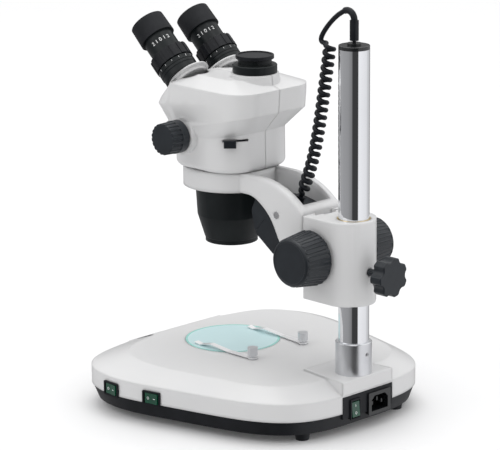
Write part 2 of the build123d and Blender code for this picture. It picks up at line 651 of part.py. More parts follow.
# -------------------------------------------------- head holder and its lamp
plate_rear = block_front - holder_gap
plate_front = plate_rear - plate_thickness
arm_inner = block_half - arm_thickness
lamp_screw_y = pillar_y - 82.6
lamp_screw_z = 215.3
ring_height = ring_top - ring_bottom
with BuildPart() as head_holder:
    with BuildSketch(Plane.YZ.offset(-block_half)) as profile:
        with BuildLine():
            ahead = pillar_y - 145
            Polyline((plate_rear, plate_bottom), (plate_rear, ring_top - 27), (plate_rear - 2, ring_top - 25.5))
            Spline((plate_rear - 2, ring_top - 25.5), (pillar_y - 66, ring_top - 11.5),
                   (pillar_y - 86, ring_top - 3.6), (pillar_y - 112, ring_top), tangents=[(-0.8, 0.66), (-1, 0)])
            Line((pillar_y - 112, ring_top), (ahead, ring_top))
            Line((ahead, ring_top), (ahead, ring_bottom))
            Line((ahead, ring_bottom), (pillar_y - 128, ring_bottom))
            Spline((pillar_y - 128, ring_bottom), (pillar_y - 106, ring_bottom - 8), (pillar_y - 93, ring_bottom - 20),
                   (pillar_y - 79, ring_bottom - 44), (plate_front - 6, plate_bottom + 2),
                   tangents=[(1, 0), (0.5, -0.86)])
            Line((plate_front - 6, plate_bottom + 2), (plate_front - 5, plate_bottom))
            Line((plate_front - 5, plate_bottom), (plate_rear, plate_bottom))
        make_face()
    extrude(profile.sketch, amount=2 * block_half)
    outer = head_holder.edges().filter_by(GeomType.BSPLINE)
    fillet(outer, 3.0)
    with Locations((0, lamp_screw_y, lamp_screw_z)):
        Cylinder(2.0, 4 * block_half, rotation=(0, 90, 0), mode=Mode.SUBTRACT)
    with BuildSketch(Plane.XY.offset(plate_bottom - 5)) as window:
        with Locations((0, plate_front)):
            Rectangle(2 * arm_inner, 120, align=(Align.CENTER, Align.MAX))
    extrude(window.sketch, amount=ring_top - plate_bottom + 10, mode=Mode.SUBTRACT)
    with Locations((0, optic_y, ring_bottom)):
        Cylinder(ring_radius, ring_height, align=(Align.CENTER, Align.CENTER, Align.MIN))
        Cylinder(ring_bore, 4 * ring_height, mode=Mode.SUBTRACT)
keep(head_holder, "head_holder")

lamp_half = arm_inner - 0.5
lamp_wall = 2.0
lamp_lens_radius = 12.0
lamp_nose = (pillar_y - 124, 188)
lamp_chin = (pillar_y - 97, 169)
LAMP_BACK = [(pillar_y - 78, 178), (pillar_y - 55, 200), (pillar_y - 55, 220), (pillar_y - 90, 227)]


def lamp_section(x, inset):
    """The lamp housing's side outline, moved in by inset."""
    with BuildSketch(Plane.YZ.offset(x)) as face:
        with BuildLine():
            Polyline(lamp_nose, lamp_chin, *LAMP_BACK, close=True)
        make_face()
        offset(amount=-inset)
        fillet(face.vertices(), 2.5)
    return face.sketch


with BuildPart() as lamp_housing:
    extrude(lamp_section(-lamp_half, 0), amount=2 * lamp_half)
    extrude(lamp_section(-lamp_half + lamp_wall, lamp_wall), amount=2 * (lamp_half - lamp_wall), mode=Mode.SUBTRACT)
    beam = (lamp_chin[0] - lamp_nose[0], lamp_chin[1] - lamp_nose[1])
    beam_length = sqrt(beam[0] ** 2 + beam[1] ** 2)
    mouth = Plane((0, (lamp_nose[0] + lamp_chin[0]) / 2, (lamp_nose[1] + lamp_chin[1]) / 2),
                  x_dir=(1, 0, 0), z_dir=(0, beam[1] / beam_length, -beam[0] / beam_length))
    with BuildSketch(mouth.offset(1)) as hole:
        Circle(lamp_lens_radius)
    extrude(hole.sketch, amount=-6, mode=Mode.SUBTRACT)
    with Locations((0, lamp_screw_y, lamp_screw_z)):
        Cylinder(2.0, 4 * block_half, rotation=(0, 90, 0), mode=Mode.SUBTRACT)
keep(lamp_housing, "lamp_housing")

with BuildPart() as lamp_lens:
    with BuildSketch(mouth.offset(-lamp_wall)) as disc:
        Circle(lamp_lens_radius)
    extrude(disc.sketch, amount=lamp_wall - 0.4)
keep(lamp_lens, "lamp_lens")

with BuildPart() as lamp_led:
    with BuildSketch(mouth.offset(-9)) as board:
        Circle(10)
    extrude(board.sketch, amount=1.6)
    with BuildSketch(mouth.offset(-7.4)) as emitter:
        Circle(3.5)
    extrude(emitter.sketch, amount=1.5)
    with BuildSketch(mouth.offset(-9)) as sink:
        Rectangle(2 * (lamp_half - lamp_wall), 16)
    extrude(sink.sketch, amount=-6)
keep(lamp_led, "lamp_led")

with BuildPart() as lamp_screws:
    for side in (-1, 1):
        with Locations((side * (block_half + 0.4), lamp_screw_y, lamp_screw_z)):
            Cylinder(3.6, 0.8, rotation=(0, 90, 0))
        with Locations((side * (block_half - 7), lamp_screw_y, lamp_screw_z)):
            Cylinder(2.0, 14, rotation=(0, 90, 0))
keep(lamp_screws, "lamp_screws")


# ---------------------------------------------------------------------- head
eye_up = (0, -sin(radians(eye_tilt)), cos(radians(eye_tilt)))


def eye_plane(side, depth, offset=0.0):
    """A plane across the eye tube's axis, depth below the top of the eyecup."""
    return Plane((side * (eye_x - offset), eye_y - depth * eye_up[1], eye_z - depth * eye_up[2]),
                 x_dir=(1, 0, 0), z_dir=eye_up)


def tilted(z, slope):
    """A plane through the optical axis that rises towards the rear."""
    return Plane((0, optic_y, z), x_dir=(1, 0, 0), z_dir=(0, -sin(radians(slope)), cos(radians(slope))))


def rounded(plane, half, front, rear, corner):
    """A rounded rectangle about the optical axis."""
    with BuildSketch(plane) as face:
        with Locations((0, (rear - front) / 2)):
            RectangleRounded(2 * half, front + rear, corner)
    return face.sketch


def head_solid(inset):
    """The head's outer shape, moved in by inset all round."""
    corner = head_corner - inset
    foot, neck = [rounded(plane, neck_half - inset, neck_half - inset, neck_half - inset, neck_corner - inset)
                  for plane in (tilted(head_bottom + inset, 0), tilted(neck_top, neck_slope))]
    waist = rounded(tilted(waist_z, waist_slope), head_half - inset, head_front - inset, head_rear - inset, corner)
    brow = rounded(tilted(brow_z - inset, 0), head_half - 1 - inset, head_front - inset, head_rear - inset, corner)
    crown = rounded(tilted(crown_z - inset, 0), head_half - 24 - inset, 30, 46 - inset, corner - 12)
    with BuildPart() as body:
        for low, high in ((foot, neck), (neck, waist), (waist, brow), (brow, crown)):
            loft([low, high], ruled=True)
        if inset == 0:
            fillet(body.faces().sort_by(Axis.Z)[0].edges(), 6)
            with BuildSketch(Plane((0, port_y, brow_z - 8))) as boss:
                Circle(port_collar_radius + 4)
            extrude(boss.sketch, amount=port_base - brow_z + 8, taper=6)
            with Locations((0, zoom_y, zoom_z)):
                Cylinder(zoom_knob_radius + 2, 2 * (zoom_knob_start - 1.5), rotation=(0, 90, 0))
        split(bisect_by=eye_plane(0, eye_length + inset), keep=Keep.BOTTOM)
    return body.part


outer_head = head_solid(0)
inner_head = head_solid(head_wall)
boss_radius = ring_bore - running_gap
zoom_shaft_radius = 3.0
slot_angle = 51.0            # of the light path lever round the optical axis
slot_z = 287.0
slot_half = 14.0             # degrees
lever_swing = 12.0
lever_radius = 57.0
seam = 0.15
for side, name in ((-1, "head_shell_left"), (1, "head_shell_right")):
    with BuildPart() as shell:
        add(outer_head)
        add(inner_head, mode=Mode.SUBTRACT)
        with Locations((0, optic_y, head_bottom)):
            Cylinder(boss_radius + 1, 40, mode=Mode.SUBTRACT)
        with Locations((0, port_y, port_base)):
            Cylinder(15, 60, mode=Mode.SUBTRACT)
        with Locations((0, zoom_y, zoom_z)):
            Cylinder(zoom_shaft_radius + 0.5, 300, rotation=(0, 90, 0), mode=Mode.SUBTRACT)
        for turret_side in (-1, 1):
            with BuildSketch(eye_plane(turret_side, eye_length - 5, turret_offset)) as hole:
                Circle(turret_radius - 4 + running_gap)
            extrude(hole.sketch, amount=-24, mode=Mode.SUBTRACT)
        if side > 0:
            with BuildSketch(Plane.XY.offset(slot_z - 1.2)) as slot:
                with BuildLine():
                    CenterArc((0, optic_y), lever_radius, slot_angle - slot_half, 2 * slot_half)
                trace(line_width=16)
            extrude(slot.sketch, amount=2.4, mode=Mode.SUBTRACT)
        with Locations((side * seam, optic_y, head_bottom)):
            Box(400, 400, 400, align=(Align.MAX if side > 0 else Align.MIN, Align.CENTER, Align.CENTER),
                mode=Mode.SUBTRACT)
    keep(shell, name)

with BuildPart() as head_frame:
    frame_floor = 5.0
    with Locations((0, optic_y, ring_bottom)):
        Cylinder(boss_radius, head_bottom - ring_bottom + 0.1, align=(Align.CENTER, Align.CENTER, Align.MIN))
    with Locations((0, optic_y, head_bottom + head_wall + 0.1)):
        Cylinder(46, frame_floor, align=(Align.CENTER, Align.CENTER, Align.MIN))
    with Locations((0, optic_y, head_bottom)):
        Cylinder(boss_radius, head_wall + 1, align=(Align.CENTER, Align.CENTER, Align.MIN))
    with Locations((0, optic_y, ring_bottom)):
        Cylinder(30, 80, mode=Mode.SUBTRACT)
    with Locations((0, optic_y + 38, head_bottom + head_wall + 5)):
        Box(32, 5, 62, align=(Align.CENTER, Align.CENTER, Align.MIN))
    for side in (-1, 1):
        with Locations((side * 36, zoom_y, head_bottom + head_wall + 5)):
            Box(5, 16, zoom_z + 8 - head_bottom - head_wall - 5, align=(Align.CENTER, Align.CENTER, Align.MIN))
    with Locations((0, zoom_y, zoom_z)):
        Cylinder(zoom_shaft_radius + running_gap, 120, rotation=(0, 90, 0), mode=Mode.SUBTRACT)
keep(head_frame, "head_frame")

lens_radius = 24.0
with BuildPart() as objective_barrel:
    barrel_top = ring_bottom - 0.1
    waist_height = barrel_top - 33
    with BuildSketch(Plane((0, optic_y, 0), x_dir=(1, 0, 0), z_dir=(0, -1, 0))) as profile:
        with BuildLine():
            Polyline((30, barrel_top), (objective_radius, barrel_top), (objective_waist, waist_height),
                     (objective_rim + 0.8, objective_bottom + 5), (objective_rim, objective_bottom + 4.2),
                     (objective_rim, objective_bottom), (lens_radius, objective_bottom),
                     (lens_radius, objective_bottom + 8), (26, objective_bottom + 8), (30, waist_height), close=True)
        make_face()
    revolve(profile.sketch, axis=Axis((0, optic_y, 0), (0, 0, 1)))
keep(objective_barrel, "objective_barrel")

lens_curve = 145.0           # radius of the lens's lower face
with BuildPart() as objective_lens:
    with Locations((0, optic_y, objective_bottom + 1)):
        Cylinder(lens_radius, 7, align=(Align.CENTER, Align.CENTER, Align.MIN))
    with Locations((0, optic_y, objective_bottom + 1 + lens_curve)):
        Sphere(lens_curve, mode=Mode.INTERSECT)
keep(objective_lens, "objective_lens")

with BuildPart() as zoom_shaft:
    with Locations((0, zoom_y, zoom_z)):
        Cylinder(zoom_shaft_radius, 2 * (zoom_knob_start + 10), rotation=(0, 90, 0))
        Cylinder(5, 40, rotation=(0, 90, 0))
keep(zoom_shaft, "zoom_shaft")

with BuildPart() as zoom_knobs:
    for side in (-1, 1):
        with BuildSketch(Plane((side * zoom_knob_start, zoom_y, zoom_z), x_dir=(0, side, 0),
                               z_dir=(side, 0, 0))) as skirt:
            Circle(zoom_knob_radius)
        extrude(skirt.sketch, amount=zoom_knob_length * 0.4)
        with BuildSketch(Plane((side * (zoom_knob_start + zoom_knob_length * 0.4), zoom_y, zoom_z),
                               x_dir=(0, side, 0), z_dir=(side, 0, 0))) as grip:
            Circle(zoom_knob_radius - 0.4)
            with PolarLocations(zoom_knob_radius - 0.1, 20):
                Circle(1.1, mode=Mode.SUBTRACT)
        extrude(grip.sketch, amount=zoom_knob_length * 0.6, taper=2)
        with Locations((side * (zoom_knob_start + 4), zoom_y, zoom_z)):
            Cylinder(zoom_shaft_radius, 14, rotation=(0, 90, 0), mode=Mode.SUBTRACT)
keep(zoom_knobs, "zoom_knobs")

with BuildPart() as path_lever:
    along = radians(slot_angle - slot_half + 8)
    lever_plane = Plane((0, optic_y, slot_z), x_dir=(cos(along), sin(along), 0), z_dir=(0, 0, 1))
    with BuildSketch(lever_plane.offset(-0.9)) as arm:
        with Locations((47, 0)):
            Rectangle(28, 6)
    extrude(arm.sketch, amount=1.8)
    with BuildSketch(lever_plane.offset(-6)) as grip:
        with Locations((lever_radius + 5.5, 0)):
            RectangleRounded(7, 13, 1)
    extrude(grip.sketch, amount=8)
keep(path_lever, "path_lever")

carrier_bottom = head_bottom + head_wall + 0.1 + frame_floor
tube_height = 40.0
with BuildPart() as head_optics:
    with Locations((0, optic_y, carrier_bottom)):
        Cylinder(34, 3, align=(Align.CENTER, Align.CENTER, Align.MIN))
        with Locations((-12, 0), (12, 0)):
            Cylinder(10, tube_height, align=(Align.CENTER, Align.CENTER, Align.MIN))
    with Locations((0, optic_y - 14, carrier_bottom + tube_height)):
        Box(76, 30, 14, align=(Align.CENTER, Align.CENTER, Align.MIN))
    with Locations((-12, optic_y, carrier_bottom + 5), (12, optic_y, carrier_bottom + 5)):
        Cylinder(8.5, 80, align=(Align.CENTER, Align.CENTER, Align.MIN), mode=Mode.SUBTRACT)
    for side in (-1, 1):
        with BuildSketch(eye_plane(side, eye_length + 9, turret_offset)) as prism:
            Rectangle(24, 24)
        extrude(prism.sketch, amount=-20)
keep(head_optics, "head_optics")

# ----------------------------------------------------------------- camera port
collar_thick = 9.0
port_neck = 17.7
with BuildPart() as port_collar:
    with Locations((0, port_y, port_base)):
        Cylinder(port_collar_radius, collar_thick, align=(Align.CENTER, Align.CENTER, Align.MIN))
        Cylinder(port_neck, collar_thick + 5.5, align=(Align.CENTER, Align.CENTER, Align.MIN))
        Cylinder(14.9, 12, align=(Align.CENTER, Align.CENTER, Align.MAX))
        Cylinder(13, 60, mode=Mode.SUBTRACT)
    chamfer(port_collar.edges().filter_by(GeomType.CIRCLE).filter_by(
        lambda e: abs(e.radius - port_collar_radius) < 0.01), 0.8)
keep(port_collar, "port_collar")

with BuildPart() as port_cap:
    cap_base = port_base + collar_thick + 5.6
    with Locations((0, port_y, cap_base)):
        Cylinder(20.2, 4.4, align=(Align.CENTER, Align.CENTER, Align.MIN))
        Cylinder(13 - running_gap, 8, align=(Align.CENTER, Align.CENTER, Align.MAX))
    with Locations((0, port_y, cap_base + 3.4)):
        Cylinder(17.5, 4, align=(Align.CENTER, Align.CENTER, Align.MIN), mode=Mode.SUBTRACT)
    fillet(port_cap.edges().filter_by(GeomType.CIRCLE).filter_by(lambda e: abs(e.radius - 20.2) < 0.01), 0.8)
keep(port_cap, "port_cap")

# ------------------------------------------------------------------- eyepieces
ring_start = 44.0            # top of the diopter ring, below the top of the eyecup
ring_length = 14.0
scale_radius = 20.0
barrel_radius = 16.8
eye_bore = 15.0
disc_depth = 7.0
for side, name in ((-1, "left"), (1, "right")):
    with BuildPart() as turret:
        with BuildSketch(eye_plane(side, eye_length, turret_offset)) as disc:
            Circle(turret_radius)
        extrude(disc.sketch, amount=disc_depth)
        with BuildSketch(eye_plane(side, eye_length, turret_offset)) as seat:
            Circle(turret_radius - 4)
        extrude(seat.sketch, amount=-head_wall - 1)
        with BuildSketch(eye_plane(side, eye_length - disc_depth)) as scale_ring:
            Circle(scale_radius)
        extrude(scale_ring.sketch, amount=eye_length - disc_depth - ring_start - ring_length - 0.1)
        with BuildSketch(eye_plane(side, eye_length - disc_depth)) as tube:
            Circle(tube_radius)
        extrude(tube.sketch, amount=eye_length - disc_depth - ring_start - 0.2)
        with BuildSketch(eye_plane(side, eye_length + 10)) as bore:
            Circle(eye_bore + running_gap)
        extrude(bore.sketch, amount=60, mode=Mode.SUBTRACT)
    keep(turret, f"eye_turret_{name}")

    with BuildPart() as diopter:
        with BuildSketch(eye_plane(side, ring_start + ring_length)) as ring:
            Circle(diopter_radius)
            with PolarLocations(diopter_radius + 0.4, 14):
                Rectangle(2.4, 3.6, mode=Mode.SUBTRACT)
            Circle(tube_radius + running_gap, mode=Mode.SUBTRACT)
        extrude(ring.sketch, amount=ring_length)
    keep(diopter, f"diopter_ring_{name}")

    with BuildPart() as eyepiece:
        with BuildSketch(eye_plane(side, ring_start - 0.2)) as barrel:
            Circle(barrel_radius)
        extrude(barrel.sketch, amount=ring_start - 0.2 - 4)
        with BuildSketch(eye_plane(side, ring_start - 0.2)) as insert:
            Circle(eye_bore)
        extrude(insert.sketch, amount=-18)
        with BuildSketch(eye_plane(side, ring_start + 20)) as bore:
            Circle(12.5)
        extrude(bore.sketch, amount=80, mode=Mode.SUBTRACT)
        with BuildSketch(eye_plane(side, 9)) as eye_lens:
            Circle(12.5)
        extrude(eye_lens.sketch, amount=3)
    keep(eyepiece, f"eyepiece_{name}")

    with BuildPart() as eyecup:
        with BuildSketch(eye_plane(side, cup_length)) as cup:
            Circle(cup_radius + 0.6)
        extrude(cup.sketch, amount=cup_length, taper=1.5)
        with BuildSketch(eye_plane(side, cup_length)) as bore:
            Circle(barrel_radius)
        extrude(bore.sketch, amount=cup_length - 4, mode=Mode.SUBTRACT)
        with BuildSketch(eye_plane(side, 4)) as mouth_hole:
            Circle(14)
        extrude(mouth_hole.sketch, amount=8, taper=-20, mode=Mode.SUBTRACT)
    keep(eyecup, f"eyecup_{name}")

# ------------------------------------------------------------------ lamp cord
# All in the plane x = 0: (distance behind the pillar's axis, height).
lead_radius = 2.2
coil_radius = 6.5
plug_radius = 4.6
plug_bottom = cap_top + 4.5
plug_top = 426.0
bend_radius = 9.0
bend_turn = 115.0


def along_cord(points):
    """Points of the cord in space."""
    return [(0, pillar_y + y, z) for y, z in points]


def cord_tube(points, radius, name):
    """A tube of straight runs and tangent arcs, each arc as large as its runs allow."""
    places = [Vector(*point) for point in points]
    runs = [b - a for a, b in zip(places, places[1:])]
    turns = [a.get_angle(b) for a, b in zip(runs, runs[1:])]
    radii = [0.45 * min(a.length, b.length) / tan(radians(turn / 2))
             for a, b, turn in zip(runs, runs[1:], turns)]
    print(name, "arc radii", [round(r, 1) for r in radii])
    with BuildPart() as tube:
        with BuildLine() as path:
            FilletPolyline(*points, radius=radii)
        with BuildSketch(Plane(places[0], z_dir=runs[0])):
            Circle(radius)
        sweep()
    print(name, "volume over section times length", tube.part.volume / (pi * radius ** 2 * path.wire().length))
    keep(tube, name)


def halfway(a, b):
    """The middle of a run, where two stretches of the coil meet."""
    return ((a[0] + b[0]) / 2, (a[1] + b[1]) / 2)


LEAD = [(-12.8, 434.16), (-21.87, 429.93), (-36, 416), (-46.5, 402), (-37.87, 394.57), (-39.6, 384.72)]
COIL = [(-35.5, 384.0), (-42, 347), (-50.5, 300), (-61, 262), (-75, 232)]
upper_end = halfway(COIL[1], COIL[2])
middle_end = halfway(COIL[2], COIL[3])
cord_tube(along_cord(LEAD), lead_radius, "cord_lead")
cord_tube(along_cord([COIL[0], COIL[1], upper_end]), coil_radius, "cord_coil_upper")
cord_tube(along_cord([upper_end, COIL[2], middle_end]), coil_radius, "cord_coil_middle")
cord_tube(along_cord([middle_end, COIL[3], COIL[4]]), coil_radius, "cord_coil_lower")

with BuildPart() as cord_plug:
    with Locations((0, pillar_y, plug_bottom)):
        Cylinder(plug_radius, plug_top - plug_bottom, align=(Align.CENTER, Align.CENTER, Align.MIN))
        Cylinder(1.75, 14, align=(Align.CENTER, Align.CENTER, Align.MAX))
    with BuildLine(Plane.YZ) as bend:
        CenterArc((pillar_y - bend_radius, plug_top), bend_radius, 0, bend_turn)
    with BuildSketch(Plane((0, pillar_y, plug_top), z_dir=(0, 0, 1))):
        Circle(lead_radius + 1.2)
    sweep()
keep(cord_plug, "cord_plug")

plug_length = 8.0
with BuildPart() as lamp_plug:
    run = Vector(0, COIL[4][0] - COIL[3][0], COIL[4][1] - COIL[3][1])
    with BuildSketch(Plane(along_cord([COIL[4]])[0], x_dir=(1, 0, 0), z_dir=run)) as strain_relief:
        Circle(plug_radius)
    extrude(strain_relief.sketch, amount=plug_length)
keep(lamp_plug, "lamp_plug")
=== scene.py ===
import math
import bmesh
import bpy
from mathutils import Matrix, Vector


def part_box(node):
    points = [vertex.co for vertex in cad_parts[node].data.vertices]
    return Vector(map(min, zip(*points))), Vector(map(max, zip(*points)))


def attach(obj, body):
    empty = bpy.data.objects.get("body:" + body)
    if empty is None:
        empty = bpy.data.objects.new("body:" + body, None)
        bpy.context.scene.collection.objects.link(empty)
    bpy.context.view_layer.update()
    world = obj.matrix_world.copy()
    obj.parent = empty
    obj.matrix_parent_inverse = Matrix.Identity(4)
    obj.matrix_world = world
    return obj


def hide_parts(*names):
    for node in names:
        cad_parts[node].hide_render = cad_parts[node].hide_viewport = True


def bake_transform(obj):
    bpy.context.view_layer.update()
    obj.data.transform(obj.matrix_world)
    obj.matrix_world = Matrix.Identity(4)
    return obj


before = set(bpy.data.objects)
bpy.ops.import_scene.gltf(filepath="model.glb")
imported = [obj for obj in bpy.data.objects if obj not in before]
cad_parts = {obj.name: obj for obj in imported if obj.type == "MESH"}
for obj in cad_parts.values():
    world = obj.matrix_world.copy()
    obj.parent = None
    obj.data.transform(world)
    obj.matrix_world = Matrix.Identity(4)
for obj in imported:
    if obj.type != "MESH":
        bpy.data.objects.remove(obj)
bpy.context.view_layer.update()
bpy.ops.object.select_all(action='DESELECT')
print("frame loaded:", len(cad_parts), "nodes")

camera = {"place": (1.94793, 1.93943, 0.90791), "turn": (75.4396, 0.4307, 135.3081), "lens": 194.4,
          "sensor": 36.0, "far": 50.0}


def addCamera():
    bpy.ops.object.camera_add(location=camera["place"], rotation=[math.radians(a) for a in camera["turn"]])
    view = bpy.context.object
    view.data.lens = camera["lens"]
    view.data.sensor_width = camera["sensor"]
    view.data.clip_end = camera["far"]
    bpy.context.scene.camera = view


floor = {"size": 14.0, "color": (0.76, 0.76, 0.764, 1), "rough": 0.6, "glow": 0.05}
lights = {
    "leftSoftbox": {"place": (2.1, -0.9, 1.5), "aim": (0, 0, 0.2), "size": (1.6, 1.9), "watts": 9},
    "rightSoftbox": {"place": (-0.9, 2.3, 1.3), "aim": (0, 0, 0.2), "size": (1.3, 1.9), "watts": 3},
    "topSoftbox": {"place": (-0.5, -0.5, 4.6), "aim": (-0.4, -0.4, 0), "size": (3.2, 3.2), "watts": 70},
}
# what the room shows at each bearing, as a share of a turn, from behind the object round to its left
world = {"camera": (1, 1, 1, 1), "level": 0.78, "dome": 1.45, "domeFrom": (0.15, 0.55), "blue": 1.02,
         "bearings": [(0.0, 0.75), (0.09, 0.12), (0.17, 0.12), (0.20, 0.55), (0.50, 0.42), (0.575, 0.30),
                      (0.592, 0.065), (0.700, 0.065), (0.712, 1.25), (0.90, 1.1), (0.96, 0.8)]}


def addFloor():
    bpy.ops.mesh.primitive_plane_add(size=floor["size"], location=(0, 0, 0))
    ground = bpy.context.object
    ground.name = "floor"
    paper = bpy.data.materials.new("paper")
    paper.use_nodes = True
    shader = paper.node_tree.nodes["Principled BSDF"]
    shader.inputs["Base Color"].default_value = floor["color"]
    shader.inputs["Roughness"].default_value = floor["rough"]
    shader.inputs["Emission Color"].default_value = (1, 1, 1, 1)
    shader.inputs["Emission Strength"].default_value = floor["glow"]
    ground.data.materials.append(paper)
    ground.visible_glossy = False


def addLights():
    for name, light in lights.items():
        direction = Vector(light["aim"]) - Vector(light["place"])
        bpy.ops.object.light_add(type='AREA', location=light["place"],
                                 rotation=direction.to_track_quat('-Z', 'Y').to_euler())
        lamp = bpy.context.object
        lamp.name = name
        lamp.data.shape = 'RECTANGLE'
        lamp.data.size, lamp.data.size_y = light["size"]
        lamp.data.energy = light["watts"]


def addWorld():
    # a room of card panels round the object: grey on the left, a dark flag, white on the right
    room = bpy.data.worlds.new("studio")
    room.use_nodes = True
    bpy.context.scene.world = room
    nodes, links = room.node_tree.nodes, room.node_tree.links
    nodes.clear()
    out = nodes.new("ShaderNodeOutputWorld")
    seen = nodes.new("ShaderNodeMixShader")
    backdrop = nodes.new("ShaderNodeBackground")
    panels = nodes.new("ShaderNodeBackground")
    rays = nodes.new("ShaderNodeLightPath")
    place = nodes.new("ShaderNodeTexCoord")
    bearing = nodes.new("ShaderNodeTexGradient")
    bearing.gradient_type = 'RADIAL'
    tone = nodes.new("ShaderNodeValToRGB")
    ramp = tone.color_ramp
    for number, (share, level) in enumerate(world["bearings"]):
        stop = ramp.elements[number] if number < 2 else ramp.elements.new(share)
        stop.position = share
        stop.color = (level, level, level * world["blue"], 1)
    links.new(place.outputs["Generated"], bearing.inputs["Vector"])
    links.new(bearing.outputs["Fac"], tone.inputs["Fac"])
    # overhead the room is one pale dome
    axes = nodes.new("ShaderNodeSeparateXYZ")
    rise = nodes.new("ShaderNodeMapRange")
    rise.inputs["From Min"].default_value, rise.inputs["From Max"].default_value = world["domeFrom"]
    dome = nodes.new("ShaderNodeMixRGB")
    dome.inputs[2].default_value = (world["dome"], world["dome"], world["dome"], 1)
    links.new(place.outputs["Generated"], axes.inputs["Vector"])
    links.new(axes.outputs["Z"], rise.inputs["Value"])
    links.new(rise.outputs["Result"], dome.inputs[0])
    links.new(tone.outputs["Color"], dome.inputs[1])
    links.new(dome.outputs[0], panels.inputs["Color"])
    panels.inputs["Strength"].default_value = world["level"]
    backdrop.inputs["Color"].default_value = world["camera"]
    links.new(rays.outputs["Is Camera Ray"], seen.inputs["Fac"])
    links.new(panels.outputs[0], seen.inputs[1])
    links.new(backdrop.outputs[0], seen.inputs[2])
    links.new(seen.outputs[0], out.inputs["Surface"])


addCamera()
addFloor()
addLights()
addWorld()
bpy.context.scene.view_settings.view_transform = 'Standard'
print("camera, floor and lights placed")

# color and second are the two shades that the surface drifts between, and grain is the bump's scale and
# strength; shine is the specular level and soft the radius of its edges
finishes = {
    "whitePaint": {"color": (0.655, 0.655, 0.655), "second": (0.635, 0.635, 0.64), "drift": 14,
                   "rough": (0.30, 0.38), "grain": (900, 0.015), "coat": 0.12, "coatRough": 0.16,
                   "shine": 0.35, "soft": 0.0030},
    "slatePlastic": {"color": (0.009, 0.012, 0.016), "second": (0.013, 0.017, 0.022), "drift": 60,
                     "rough": (0.30, 0.40), "grain": (2600, 0.10), "soft": 0.0006, "shine": 0.42},
    "blackPlastic": {"color": (0.006, 0.007, 0.009), "second": (0.010, 0.011, 0.014), "drift": 60,
                     "rough": (0.34, 0.46), "grain": (2600, 0.10), "soft": 0.0006, "shine": 0.22},
    "blackGloss": {"color": (0.006, 0.007, 0.008), "second": (0.010, 0.011, 0.012), "drift": 40,
                   "rough": (0.16, 0.24), "grain": (1400, 0.02), "coat": 0.3, "coatRough": 0.1, "soft": 0.0006},
    "blackMetal": {"color": (0.006, 0.008, 0.009), "second": (0.010, 0.013, 0.014), "drift": 30,
                   "rough": (0.30, 0.40), "grain": (2200, 0.05), "soft": 0.0006, "shine": 0.22},
    "blackRubber": {"color": (0.007, 0.008, 0.010), "second": (0.012, 0.013, 0.016), "drift": 80,
                    "rough": (0.52, 0.66), "grain": (1800, 0.14), "soft": 0.0006, "shine": 0.22},
    "cordRubber": {"color": (0.006, 0.007, 0.010), "second": (0.010, 0.012, 0.016), "drift": 90,
                   "rough": (0.34, 0.44), "grain": (1500, 0.05), "shine": 0.22},
    "chrome": {"color": (0.86, 0.87, 0.89), "second": (0.80, 0.81, 0.83), "drift": 10, "rough": (0.035, 0.06),
               "grain": (300, 0.002), "metal": 1},
    "steel": {"color": (0.62, 0.62, 0.63), "second": (0.52, 0.52, 0.53), "drift": 90, "rough": (0.22, 0.34),
              "grain": (1200, 0.03), "metal": 1},
    "clipSteel": {"color": (0.86, 0.86, 0.87), "second": (0.80, 0.80, 0.81), "drift": 60, "rough": (0.28, 0.36),
                  "grain": (1200, 0.02), "metal": 0.6},
    "satinAluminium": {"color": (0.72, 0.73, 0.75), "second": (0.64, 0.65, 0.67), "drift": 60,
                       "rough": (0.26, 0.36), "grain": (1600, 0.03), "metal": 1, "turned": 900},
    "brass": {"color": (0.72, 0.56, 0.28), "second": (0.62, 0.47, 0.22), "drift": 70, "rough": (0.25, 0.36),
              "grain": (1200, 0.03), "metal": 1},
    "boardGreen": {"color": (0.02, 0.16, 0.07), "second": (0.03, 0.22, 0.10), "drift": 160, "rough": (0.3, 0.4),
                   "grain": (900, 0.05)},
    # the rockers carry a painted glow: a faint green emission that brightens them, though they hold no lamp
    "greenRocker": {"color": (0.001, 0.032, 0.018), "second": (0.002, 0.055, 0.028), "drift": 120,
                    "rough": (0.12, 0.2), "grain": (700, 0.02), "coat": 0.5, "coatRough": 0.06,
                    "glow": (0.02, 0.5, 0.22, 0.02)},
    "frostedGlass": {"color": (0.52, 0.72, 0.74), "second": (0.55, 0.75, 0.77), "drift": 18,
                     "rough": (0.30, 0.40), "grain": (2400, 0.06), "coat": 0.4, "coatRough": 0.2},
    "greenEdge": {"color": (0.28, 0.62, 0.56), "second": (0.34, 0.68, 0.62), "drift": 30, "rough": (0.15, 0.25),
                  "grain": (900, 0.02)},
    "lensGlass": {"color": (0.05, 0.06, 0.09), "second": (0.08, 0.07, 0.12), "drift": 25, "rough": (0.03, 0.06),
                  "grain": (200, 0.0), "coat": 1.0, "coatRough": 0.02},
    "whiteInk": {"color": (0.85, 0.85, 0.85), "second": (0.78, 0.78, 0.78), "drift": 200, "rough": (0.4, 0.5),
                 "grain": (2000, 0.02)},
}
surface = {"driftDetail": 4, "shadeFrom": 0.3, "shadeTo": 0.7, "wearScale": 2.3, "grainDetail": 3,
           "ringWander": 1.5, "bumpHigh": 0.0004, "edgeSamples": 8}


